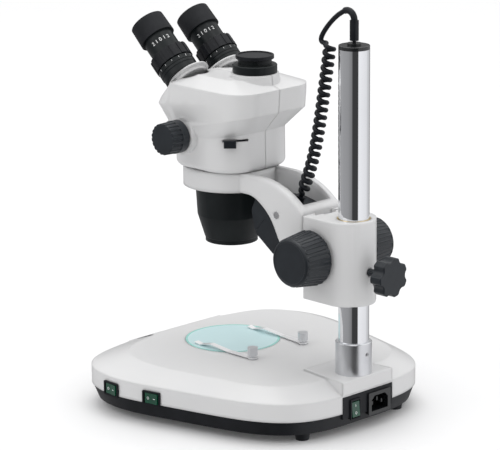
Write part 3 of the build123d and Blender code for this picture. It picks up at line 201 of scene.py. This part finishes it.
def makeFinish(name, look):
    material = bpy.data.materials.new(name)
    material.use_nodes = True
    nodes, links = material.node_tree.nodes, material.node_tree.links
    shader = nodes["Principled BSDF"]
    place = nodes.new("ShaderNodeTexCoord")
    drift = nodes.new("ShaderNodeTexNoise")
    drift.inputs["Scale"].default_value = look["drift"]
    drift.inputs["Detail"].default_value = surface["driftDetail"]
    links.new(place.outputs["Object"], drift.inputs["Vector"])
    shades = nodes.new("ShaderNodeValToRGB")
    shades.color_ramp.elements[0].position = surface["shadeFrom"]
    shades.color_ramp.elements[0].color = (*look["color"], 1)
    shades.color_ramp.elements[1].position = surface["shadeTo"]
    shades.color_ramp.elements[1].color = (*look["second"], 1)
    links.new(drift.outputs["Fac"], shades.inputs["Fac"])
    links.new(shades.outputs["Color"], shader.inputs["Base Color"])
    wear = nodes.new("ShaderNodeTexNoise")
    wear.inputs["Scale"].default_value = look["drift"] * surface["wearScale"]
    links.new(place.outputs["Object"], wear.inputs["Vector"])
    rough = nodes.new("ShaderNodeMapRange")
    rough.inputs["To Min"].default_value, rough.inputs["To Max"].default_value = look["rough"]
    links.new(wear.outputs["Fac"], rough.inputs["Value"])
    links.new(rough.outputs["Result"], shader.inputs["Roughness"])
    grain = nodes.new("ShaderNodeTexNoise")
    grain.inputs["Scale"].default_value, strength = look["grain"]
    grain.inputs["Detail"].default_value = surface["grainDetail"]
    links.new(place.outputs["Object"], grain.inputs["Vector"])
    height = grain.outputs["Fac"]
    if "turned" in look:
        # fine rings from turning, across the upright axis
        rings = nodes.new("ShaderNodeTexWave")
        rings.bands_direction = 'Z'
        rings.inputs["Scale"].default_value = look["turned"]
        rings.inputs["Distortion"].default_value = surface["ringWander"]
        links.new(place.outputs["Object"], rings.inputs["Vector"])
        height = rings.outputs["Fac"]
    bump = nodes.new("ShaderNodeBump")
    bump.inputs["Strength"].default_value = strength
    bump.inputs["Distance"].default_value = surface["bumpHigh"]
    if "soft" in look:
        # the moulded edges are a little round
        edge = nodes.new("ShaderNodeBevel")
        edge.samples = surface["edgeSamples"]
        edge.inputs["Radius"].default_value = look["soft"]
        links.new(edge.outputs["Normal"], bump.inputs["Normal"])
    links.new(height, bump.inputs["Height"])
    links.new(bump.outputs["Normal"], shader.inputs["Normal"])
    shader.inputs["Metallic"].default_value = look.get("metal", 0)
    shader.inputs["Specular IOR Level"].default_value = look.get("shine", 0.5)
    shader.inputs["Coat Weight"].default_value = look.get("coat", 0)
    shader.inputs["Coat Roughness"].default_value = look.get("coatRough", 0.1)
    # a painted glow: emission that brightens the surface, though it is no lamp
    if "glow" in look:
        shader.inputs["Emission Color"].default_value = (*look["glow"][:3], 1)
        shader.inputs["Emission Strength"].default_value = look["glow"][3]
    return material


finishes["basePaint"] = {**finishes["whitePaint"], "soft": 0.005}
finishes["armPaint"] = {**finishes["whitePaint"], "soft": 0.009}
materials = {name: makeFinish(name, look) for name, look in finishes.items()}

nodeFinish = {
    "whitePaint": ["focus_block", "head_shell_left", "head_shell_right"],
    "basePaint": ["base_shell"],
    "armPaint": ["head_holder"],
    "slatePlastic": ["focus_knobs", "star_knob", "lamp_housing", "zoom_knobs", "path_lever"],
    "blackPlastic": ["base_pan", "rocker_bezels", "diopter_ring_left", "diopter_ring_right", "port_cap"],
    "blackGloss": ["mains_inlet", "cord_jack", "pillar_cap"],
    "blackMetal": ["objective_barrel", "port_collar", "eye_turret_left", "eye_turret_right", "eyepiece_left",
                   "eyepiece_right"],
    "blackRubber": ["rubber_feet", "eyecup_left", "eyecup_right"],
    "cordRubber": ["cord_plug", "cord_lead", "cord_coil_upper", "cord_coil_middle", "cord_coil_lower",
                   "lamp_plug"],
    "chrome": ["pillar_tube"],
    "steel": ["foot_screws", "pillar_bolt", "collar_screw", "pinion_shaft", "zoom_shaft", "lamp_screws"],
    "clipSteel": ["stage_clip_left", "stage_clip_right"],
    "satinAluminium": ["clip_posts", "pillar_collar", "light_cup", "dovetail_slide", "lamp_led", "head_frame",
                       "head_optics"],
    "brass": ["pillar_bush", "shaft_bushes", "focus_rack"],
    "boardGreen": ["power_board", "led_board"],
    "greenRocker": ["front_light_rocker", "rear_light_rocker", "mains_rocker"],
    "frostedGlass": ["stage_plate"],
    "lensGlass": ["lamp_lens", "objective_lens"],
}
for finish, names in nodeFinish.items():
    for name in names:
        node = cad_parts[name]
        node.data.materials.clear()
        node.data.materials.append(materials[finish])
print("materials made:", len(materials))

weldDistance = 0.000004  # corners nearer than this are one


def lathe(name, profile, segments=72):
    # the profile is points of (along the axis, radius), and a grid primitive is wrapped round the X axis
    bpy.ops.mesh.primitive_grid_add(x_subdivisions=len(profile) - 1, y_subdivisions=segments)
    turned = bpy.context.object
    turned.name = name
    for number, vertex in enumerate(turned.data.vertices):
        along, radius = profile[number % len(profile)]
        angle = 2 * math.pi * (number // len(profile)) / segments
        vertex.co = (along, radius * math.cos(angle), radius * math.sin(angle))
    finishMesh(turned)
    return turned


def finishMesh(piece, sharp=35):
    # merged, facing outward, and crisp only at edges that turn by more than this many degrees
    bpy.ops.object.select_all(action='DESELECT')
    bpy.context.view_layer.objects.active = piece
    piece.select_set(True)
    bpy.ops.object.mode_set(mode='EDIT')
    bpy.ops.mesh.select_all(action='SELECT')
    bpy.ops.mesh.remove_doubles(threshold=weldDistance)
    bpy.ops.mesh.normals_make_consistent(inside=False)
    bpy.ops.object.mode_set(mode='OBJECT')
    bpy.ops.object.shade_smooth_by_angle(angle=math.radians(sharp))
    piece.select_set(False)


def moved(piece, matrix):
    piece.data.transform(matrix)
    piece.data.update()
    return piece


def joined(name, pieces):
    bpy.ops.object.select_all(action='DESELECT')
    for piece in pieces:
        piece.select_set(True)
    bpy.context.view_layer.objects.active = pieces[0]
    bpy.ops.object.join()
    pieces[0].name = name
    pieces[0].select_set(False)
    return pieces[0]


def painted(piece, finish):
    piece.data.materials.clear()
    piece.data.materials.append(materials[finish])
    return piece


pillarLow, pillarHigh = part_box("pillar_tube")
pillarY = (pillarLow.y + pillarHigh.y) / 2

# both edges are points of (in from the end, in from the radius)
focusKnob = {"length": 0.034, "inner": 0.0285, "outer": 0.0248, "hole": 0.008, "holeDeep": 0.0002,
             "innerEdge": [(0.0, 0.004), (0.0006, 0.0012), (0.0022, 0.0)],
             "outerEdge": [(0.0022, -0.0002), (0.0010, 0.0004), (0.0002, 0.0014), (0.0, 0.0024), (0.0, 0.0030),
                           (0.0004, 0.0034)],
             "ribs": 20, "ribWide": 0.0023, "ribLine": 0.00070, "ribLong": 0.0235, "ribShift": 0.0002,
             "plainEnds": 0.005}


def knobRibs(middle, radius, slope):
    ribs = []
    for number in range(focusKnob["ribs"]):
        bpy.ops.mesh.primitive_torus_add(major_radius=focusKnob["ribWide"], minor_radius=focusKnob["ribLine"],
                                         major_segments=20, minor_segments=6)
        rib = bpy.context.object
        for vertex in rib.data.vertices:
            vertex.co.x += math.copysign(focusKnob["ribLong"] / 2, vertex.co.x)
        finishMesh(rib, 180)
        moved(rib, Matrix.Rotation(2 * math.pi * number / focusKnob["ribs"], 4, 'X')
              @ Matrix.Translation((middle, 0, radius)) @ Matrix.Rotation(slope, 4, 'Y'))
        ribs.append(rib)
    return ribs


def focusKnobs():
    low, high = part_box("focus_knobs")
    start, end = high.x - focusKnob["length"], high.x
    inner, outer = focusKnob["inner"], focusKnob["outer"]
    slope = math.atan2(inner - outer, focusKnob["length"] - focusKnob["plainEnds"])
    profile = [(start + focusKnob["holeDeep"], focusKnob["hole"])]
    profile += [(start + along, inner - down) for along, down in focusKnob["innerEdge"]]
    profile += [(end - along, outer - down) for along, down in focusKnob["outerEdge"]]
    profile.append((profile[-1][0], 0.0))
    for name, turn in (("focusKnobNear", 0), ("focusKnobFar", math.pi)):
        parts = [lathe("knob", profile)]
        parts += knobRibs((start + end) / 2 + focusKnob["ribShift"], (inner + outer) / 2, slope)
        knob = joined(name, parts)
        moved(knob, Matrix.Translation((0, (low.y + high.y) / 2, (low.z + high.z) / 2))
              @ Matrix.Rotation(turn, 4, 'Z'))
        painted(knob, "slatePlastic")
        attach(knob, "focus_drive")
        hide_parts("focus_knobs")


focusKnobs()
print("focus knobs made")

# depths are measured down the tube from the eyecup's rim
eyes = {"tilt": 47.0, "discRadius": 0.024, "discOff": 0.007, "discEdge": 0.0012, "ease": 0.0004,
        "seatRadius": 0.020, "discTop": 0.0738, "discBottom": 0.076, "seatEnd": 0.0799, "ringRadius": 0.0206,
        "ringTop": 0.0581, "neckIn": 0.0006, "neckTop": 0.0670, "neckEase": 0.0002, "grooveLow": 0.0642,
        "grooveHigh": 0.0635, "grooveDeep": 0.0005, "grooveEase": 0.0001, "tubeRadius": 0.016,
        "tubeTop": 0.0442, "bore": 0.01506}
ticks = {"count": 15, "longEvery": 5, "near": 0.0592, "far": 0.0622, "short": 0.6, "wide": 0.0004,
         "high": 0.00008}
eyeNumber = {"text": "2 1 0 1 2", "high": 0.0042, "letterShare": 0.7, "depth": 0.0330, "facing": 50.0,
             "barrel": 0.0168, "ink": 0.00006}


def eyeFrame(side):
    # X along the tube and out of it, Y across to the right, Z away from the face of the user
    low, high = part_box("eyecup_right" if side > 0 else "eyecup_left")
    tilt = math.radians(eyes["tilt"])
    out = Vector((0, -math.sin(tilt), math.cos(tilt)))
    across = Vector((1, 0, 0))
    away = out.cross(across)
    centre = Vector(((low.x + high.x) / 2, 0, 0))
    # the cup's rim circle touches the box's front and top
    radius = (high.x - low.x) / 2
    top = Vector((centre.x, low.y + radius * math.cos(tilt), high.z - radius * math.sin(tilt)))
    turn = Matrix((out, across, away)).transposed().to_4x4()
    return Matrix.Translation(top) @ turn


def ringPart(name, profile, finish):
    part = lathe(name, [(-depth, radius) for depth, radius in profile])
    part.data.materials.append(materials[finish])
    return part


def tickMarks(radius):
    marks = []
    for number in range(ticks["count"]):
        share = 1 if number % ticks["longEvery"] == 0 else ticks["short"]
        length = (ticks["far"] - ticks["near"]) * share
        bpy.ops.mesh.primitive_cube_add(size=1)
        mark = bpy.context.object
        mark.data.transform(Matrix.Diagonal((length, ticks["wide"], ticks["high"], 1)))
        mark.data.transform(Matrix.Rotation(2 * math.pi * number / ticks["count"], 4, 'X')
                            @ Matrix.Translation((-ticks["near"] - length / 2, 0, radius)))
        mark.data.materials.append(materials["whiteInk"])
        marks.append(mark)
    return marks


def eyeTurret(name, side):
    top, ease, full = eyes["discTop"], eyes["ease"], eyes["ringRadius"]
    disc = ringPart("disc", [
        (eyes["seatEnd"], 0), (eyes["seatEnd"], eyes["seatRadius"]), (eyes["discBottom"], eyes["seatRadius"]),
        (eyes["discBottom"], eyes["discRadius"]), (top + eyes["discEdge"], eyes["discRadius"]),
        (top + ease, eyes["discRadius"] - ease), (top, eyes["discRadius"] - eyes["discEdge"]), (top, 0),
    ], "whitePaint")
    moved(disc, Matrix.Translation((0, -side * eyes["discOff"], 0)))
    neck, groove = full - eyes["neckIn"], full - eyes["grooveDeep"]
    ring = ringPart("ring", [
        (top, eyes["bore"]), (top, neck), (eyes["neckTop"] + eyes["neckEase"], neck), (eyes["neckTop"], full),
        (eyes["grooveLow"], full), (eyes["grooveLow"] - eyes["grooveEase"], groove),
        (eyes["grooveHigh"] + eyes["grooveEase"], groove), (eyes["grooveHigh"], full),
        (eyes["ringTop"] + ease, full), (eyes["ringTop"], full - ease), (eyes["ringTop"], eyes["tubeRadius"]),
        (eyes["tubeTop"], eyes["tubeRadius"]), (eyes["tubeTop"], eyes["bore"]), (top, eyes["bore"]),
    ], "blackMetal")
    return moved(joined(name, [ring, disc] + tickMarks(full)), eyeFrame(side))


def eyeNumbers(name, side):
    bpy.ops.object.text_add()
    words = bpy.context.object
    words.data.body = eyeNumber["text"]
    words.data.size = eyeNumber["high"] / eyeNumber["letterShare"]
    words.data.align_x = 'CENTER'
    bpy.ops.object.convert(target='MESH')
    words = bpy.context.object
    words.name = name
    bpy.ops.object.mode_set(mode='EDIT')
    bpy.ops.mesh.select_all(action='SELECT')
    bpy.ops.mesh.subdivide(number_cuts=2)
    bpy.ops.object.mode_set(mode='OBJECT')
    facing = math.radians(eyeNumber["facing"])
    radius = eyeNumber["barrel"] + eyeNumber["ink"]
    for vertex in words.data.vertices:
        angle = facing + vertex.co.x / radius
        vertex.co = (vertex.co.y - eyeNumber["depth"], radius * math.cos(angle), radius * math.sin(angle))
    return moved(painted(words, "whiteInk"), eyeFrame(side))


for sideName, side in (("left", -1), ("right", 1)):
    turret = eyeTurret(sideName + "Turret", side)
    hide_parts("eye_turret_" + sideName)
    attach(turret, sideName + "_turret")
    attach(eyeNumbers(sideName + "EyeNumbers", side), sideName + "_eyepiece")
print("eye turrets and numbers made")

glassRim = {"inner": 0.0486, "outer": 0.05095, "high": 0.00012, "edge": 0.0001, "around": 128}
low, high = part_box("stage_plate")
rim = lathe("glassRim", [(0, glassRim["inner"]), (glassRim["high"], glassRim["inner"] + glassRim["edge"]),
                         (glassRim["high"], glassRim["outer"] - glassRim["edge"]), (0, glassRim["outer"])],
            glassRim["around"])
moved(rim, Matrix.Translation(((low.x + high.x) / 2, (low.y + high.y) / 2, high.z))
      @ Matrix.Rotation(-math.pi / 2, 4, 'Y'))
painted(rim, "greenEdge")
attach(rim, "stand")

switchMarks = {"barWide": 0.0006, "barLong": 0.0026, "high": 0.00008, "ringRadius": 0.0012, "ringLine": 0.00022}


def outerFaces(node, hinge):
    # the two sloping faces of a rocker, as (middle, normal), found by their shared normals
    low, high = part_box(node)
    outward = (low + high) / 2
    outward.z = 0
    outward = (outward - outward.project(hinge)).normalized()
    faces = {}
    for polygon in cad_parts[node].data.polygons:
        if polygon.normal.dot(outward) > 0.5:
            key = tuple(round(value, 2) for value in polygon.normal)
            area, total = faces.get(key, (0.0, Vector()))
            faces[key] = (area + polygon.area, total + polygon.area * polygon.center)
    largest = sorted(faces.items(), key=lambda face: -face[1][0])[:2]
    return sorted(((total / area, Vector(normal).normalized()) for normal, (area, total) in largest),
                  key=lambda face: (face[0].z, face[0].y))


def rockerMarks(name, node, hinge):
    marks = []
    for number, (middle, normal) in enumerate(outerFaces(node, hinge)):
        if number:
            bpy.ops.mesh.primitive_cube_add(size=1)
            size = (switchMarks["barWide"], switchMarks["barLong"], switchMarks["high"], 1)
            bpy.context.object.data.transform(Matrix.Diagonal(size))
        else:
            bpy.ops.mesh.primitive_torus_add(major_radius=switchMarks["ringRadius"],
                                             minor_radius=switchMarks["ringLine"], major_segments=24,
                                             minor_segments=6)
        turn = Matrix((hinge, normal.cross(hinge), normal)).transposed().to_4x4()
        marks.append(moved(bpy.context.object, Matrix.Translation(middle) @ turn))
    return painted(joined(name, marks), "whiteInk")


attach(rockerMarks("frontLightMarks", "front_light_rocker", Vector((0, 0, 1))), "front_light_switch")
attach(rockerMarks("rearLightMarks", "rear_light_rocker", Vector((0, 0, 1))), "rear_light_switch")
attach(rockerMarks("mainsMarks", "mains_rocker", Vector((1, 0, 0))), "mains_switch")
print("stage rim and switch marks made")

# heights are at the head's axis, and rise is how fast each level climbs towards the rear
head = {"axisY": -0.06525, "front": -0.140, "rear": -0.012, "top": 0.36, "brow": 0.3385, "widest": 0.322,
        "waist": 0.3035, "neck": 0.291, "browIn": 0.0062, "waistIn": 0.0080, "rearShare": 0.2, "rise": 0.12,
        "seam": 0.012, "sideEase": 0.03, "frontEase": 0.04}


def headInset(place):
    # how far a point of the head moves in, most at the user's end and at the waist
    ahead = min(1.0, max(0.0, (head["rear"] - place.y) / (head["rear"] - head["front"])))
    share = head["rearShare"] + (1 - head["rearShare"]) * ahead
    height = place.z - head["rise"] * (place.y - head["axisY"])
    levels = [(head["neck"], 0.0), (head["waist"], head["waistIn"]), (head["widest"], 0.0),
              (head["brow"], head["browIn"] * ahead)]
    if height <= levels[0][0] or height >= head["top"]:
        return 0.0
    for (low, small), (high, large) in zip(levels, levels[1:]):
        if height <= high:
            return share * (small + (large - small) * (height - low) / (high - low))
    return share * levels[-1][1]


def headShell(name, node):
    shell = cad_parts[node].copy()
    shell.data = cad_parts[node].data.copy()
    shell.name = name
    shell.parent = None
    # the copy drops what marks the node as one of the frame's own
    for key in list(shell.keys()):
        del shell[key]
    bpy.context.collection.objects.link(shell)
    work = bmesh.new()
    work.from_mesh(shell.data)
    slope = Vector((0, -head["rise"], 1)).normalized()
    for level in (head["neck"], head["waist"], head["widest"], head["brow"]):
        bmesh.ops.bisect_plane(work, geom=work.verts[:] + work.edges[:] + work.faces[:],
                               plane_co=(0, head["axisY"], level), plane_no=slope)
    for vertex in work.verts:
        inset = headInset(vertex.co)
        wide = abs(vertex.co.x)
        if wide > head["seam"]:
            share = min(1.0, (wide - head["seam"]) / head["sideEase"])
            vertex.co.x -= math.copysign(inset * share, vertex.co.x)
        if vertex.co.y < head["axisY"]:
            vertex.co.y += inset * min(1.0, (head["axisY"] - vertex.co.y) / head["frontEase"])
    work.to_mesh(shell.data)
    work.free()
    return painted(shell, "whitePaint")


for sideName in ("left", "right"):
    shell = headShell(sideName + "HeadShell", "head_shell_" + sideName)
    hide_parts("head_shell_" + sideName)
    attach(shell, "head")
print("head shells made")

# the outline is points of (y from the pillar's middle, z)
hood = {"outline": [(-0.0900, 0.2268), (-0.1215, 0.2262), (-0.1290, 0.2120), (-0.1240, 0.1885)],
        "corner": 0.0035}


def roundedOutline(points, corner, steps=5):
    rounded = []
    for number, point in enumerate(points):
        before, after = Vector(points[number - 1]), Vector(points[(number + 1) % len(points)])
        here = Vector(point)
        first = here + (before - here).normalized() * corner
        last = here + (after - here).normalized() * corner
        for step in range(steps + 1):
            share = step / steps
            rounded.append(first.lerp(here, share).lerp(here.lerp(last, share), share))
    return rounded


def slab(name, outline, x, wide):
    # a filled circle primitive is moved onto the outline in (y, z), then extruded along X
    bpy.ops.mesh.primitive_circle_add(vertices=len(outline), fill_type='NGON')
    piece = bpy.context.object
    piece.name = name
    for vertex, (y, z) in zip(piece.data.vertices, outline):
        vertex.co = (x, y, z)
    bpy.ops.object.mode_set(mode='EDIT')
    bpy.ops.mesh.select_all(action='SELECT')
    bpy.ops.mesh.extrude_region_move(TRANSFORM_OT_translate={"value": (wide, 0, 0)})
    bpy.ops.object.mode_set(mode='OBJECT')
    finishMesh(piece)
    return piece


low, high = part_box("lamp_housing")
outline = roundedOutline([(pillarY + y, z) for y, z in hood["outline"]], hood["corner"])
lampHood = painted(slab("lampHood", outline, low.x, high.x - low.x), "slatePlastic")
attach(lampHood, "arm")
print("lamp hood made")

# places on the route are (y from the pillar's middle, z) in millimetres
cord = {"wire": 0.00255, "coil": 0.0071, "pitch": 0.0082, "pointsPerTurn": 14, "endTaper": 0.012,
        "startAngle": -90, "routeSamples": 24, "tubeSamples": 6, "sides": 5}
lead = [(-12.8, 434.16), (-21.87, 429.93), (-37, 416), (-46.8, 402.5), (-45, 397.5)]
coilTop = (-33.7, 397.5)
coil = [(-35.5, 384.0), (-42, 347), (-50.5, 300), (-61, 262), (-75, 232)]


def cordPoint(point):
    return Vector((0, pillarY + point[0] / 1000, point[1] / 1000))


def halfway(a, b):
    return ((a[0] + b[0]) / 2, (a[1] + b[1]) / 2)


def splineCurve(name, points, bevel, samples):
    curve = bpy.data.curves.new(name, 'CURVE')
    curve.dimensions = '3D'
    curve.resolution_u = samples
    curve.bevel_depth = bevel
    curve.bevel_resolution = cord["sides"]
    curve.use_fill_caps = bevel > 0
    spline = curve.splines.new('NURBS')
    spline.points.add(len(points) - 1)
    for place, point in zip(spline.points, points):
        place.co = (*point, 1)
    spline.order_u = 3
    spline.use_endpoint_u = True
    return bpy.data.objects.new(name, curve)


def splineLine(points, samples):
    # the smooth line that a spline with these control points follows
    route = splineCurve("route", points, 0, samples)
    bpy.context.collection.objects.link(route)
    line = bpy.data.meshes.new_from_object(route.evaluated_get(bpy.context.evaluated_depsgraph_get()))
    places = [vertex.co.copy() for vertex in line.vertices]
    bpy.data.objects.remove(route)
    bpy.data.meshes.remove(line)
    return places


def helixTurns(control, turned, taper):
    # points wound round the route, with the angle reached at its far end
    places = splineLine(control, cord["routeSamples"])
    steps = [(b - a).length for a, b in zip(places, places[1:])]
    length = sum(steps)
    count = max(2, round(length / cord["pitch"] * cord["pointsPerTurn"]))
    radius = cord["coil"] - cord["wire"]
    wound, walked, index = [], 0.0, 0
    for n in range(count + 1):
        wanted = length * n / count
        while index < len(steps) - 1 and walked + steps[index] < wanted:
            walked += steps[index]
            index += 1
        share = (wanted - walked) / steps[index]
        middle = places[index].lerp(places[index + 1], share)
        along = (places[index + 1] - places[index]).normalized()
        side = Vector((1, 0, 0))
        across = side.cross(along)
        angle = turned + 2 * math.pi * wanted / cord["pitch"]
        reach = radius
        if taper:
            left = min(1.0, (length - wanted) / cord["endTaper"])
            reach = radius * left * left * (3 - 2 * left)
        wound.append(middle + reach * (math.cos(angle) * side + math.sin(angle) * across))
    return wound, turned + 2 * math.pi * length / cord["pitch"]


def cordTube(name, points):
    tube = splineCurve(name, points, cord["wire"], cord["tubeSamples"])
    bpy.context.collection.objects.link(tube)
    mesh = bpy.data.meshes.new_from_object(tube.evaluated_get(bpy.context.evaluated_depsgraph_get()))
    bpy.data.objects.remove(tube)
    piece = bpy.data.objects.new(name, mesh)
    bpy.context.collection.objects.link(piece)
    for polygon in mesh.polygons:
        polygon.use_smooth = True
    mesh.materials.clear()
    mesh.materials.append(materials["cordRubber"])
    path = splineLine(points, cord["tubeSamples"])
    print(name, "length", round(sum((b - a).length for a, b in zip(path, path[1:])), 4))
    return piece, path


upperEnd = halfway(coil[1], coil[2])
middleEnd = halfway(coil[2], coil[3])
stretches = [
    {"name": "coilUpper", "route": [coil[0], coil[1], upperEnd], "replaces": ["cord_lead", "cord_coil_upper"],
     "bodies": ("stand", "pillar_slider"), "length": 0.323, "carries": ["cord_plug"]},
    {"name": "coilMiddle", "route": [upperEnd, coil[2], middleEnd], "replaces": ["cord_coil_middle"],
     "bodies": ("pillar_slider", "block"), "length": 0.152, "carries": []},
    {"name": "coilLower", "route": [middleEnd, coil[3], coil[4]], "replaces": ["cord_coil_lower"],
     "bodies": ("block", "arm"), "length": 0.172, "carries": ["lamp_plug"]},
]
turned = math.radians(cord["startAngle"])
for stretch in stretches:
    first, last = stretch is stretches[0], stretch is stretches[-1]
    control = [cordPoint(point) for point in stretch["route"]]
    wrapped = [cordPoint(coilTop)] + control if first else control
    points, turned = helixTurns(wrapped, turned, taper=last)
    if first:
        points = [cordPoint(point) for point in lead] + points
    piece, path = cordTube(stretch["name"], points)
    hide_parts(*stretch["replaces"])
    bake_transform(piece)
print("cord wound")
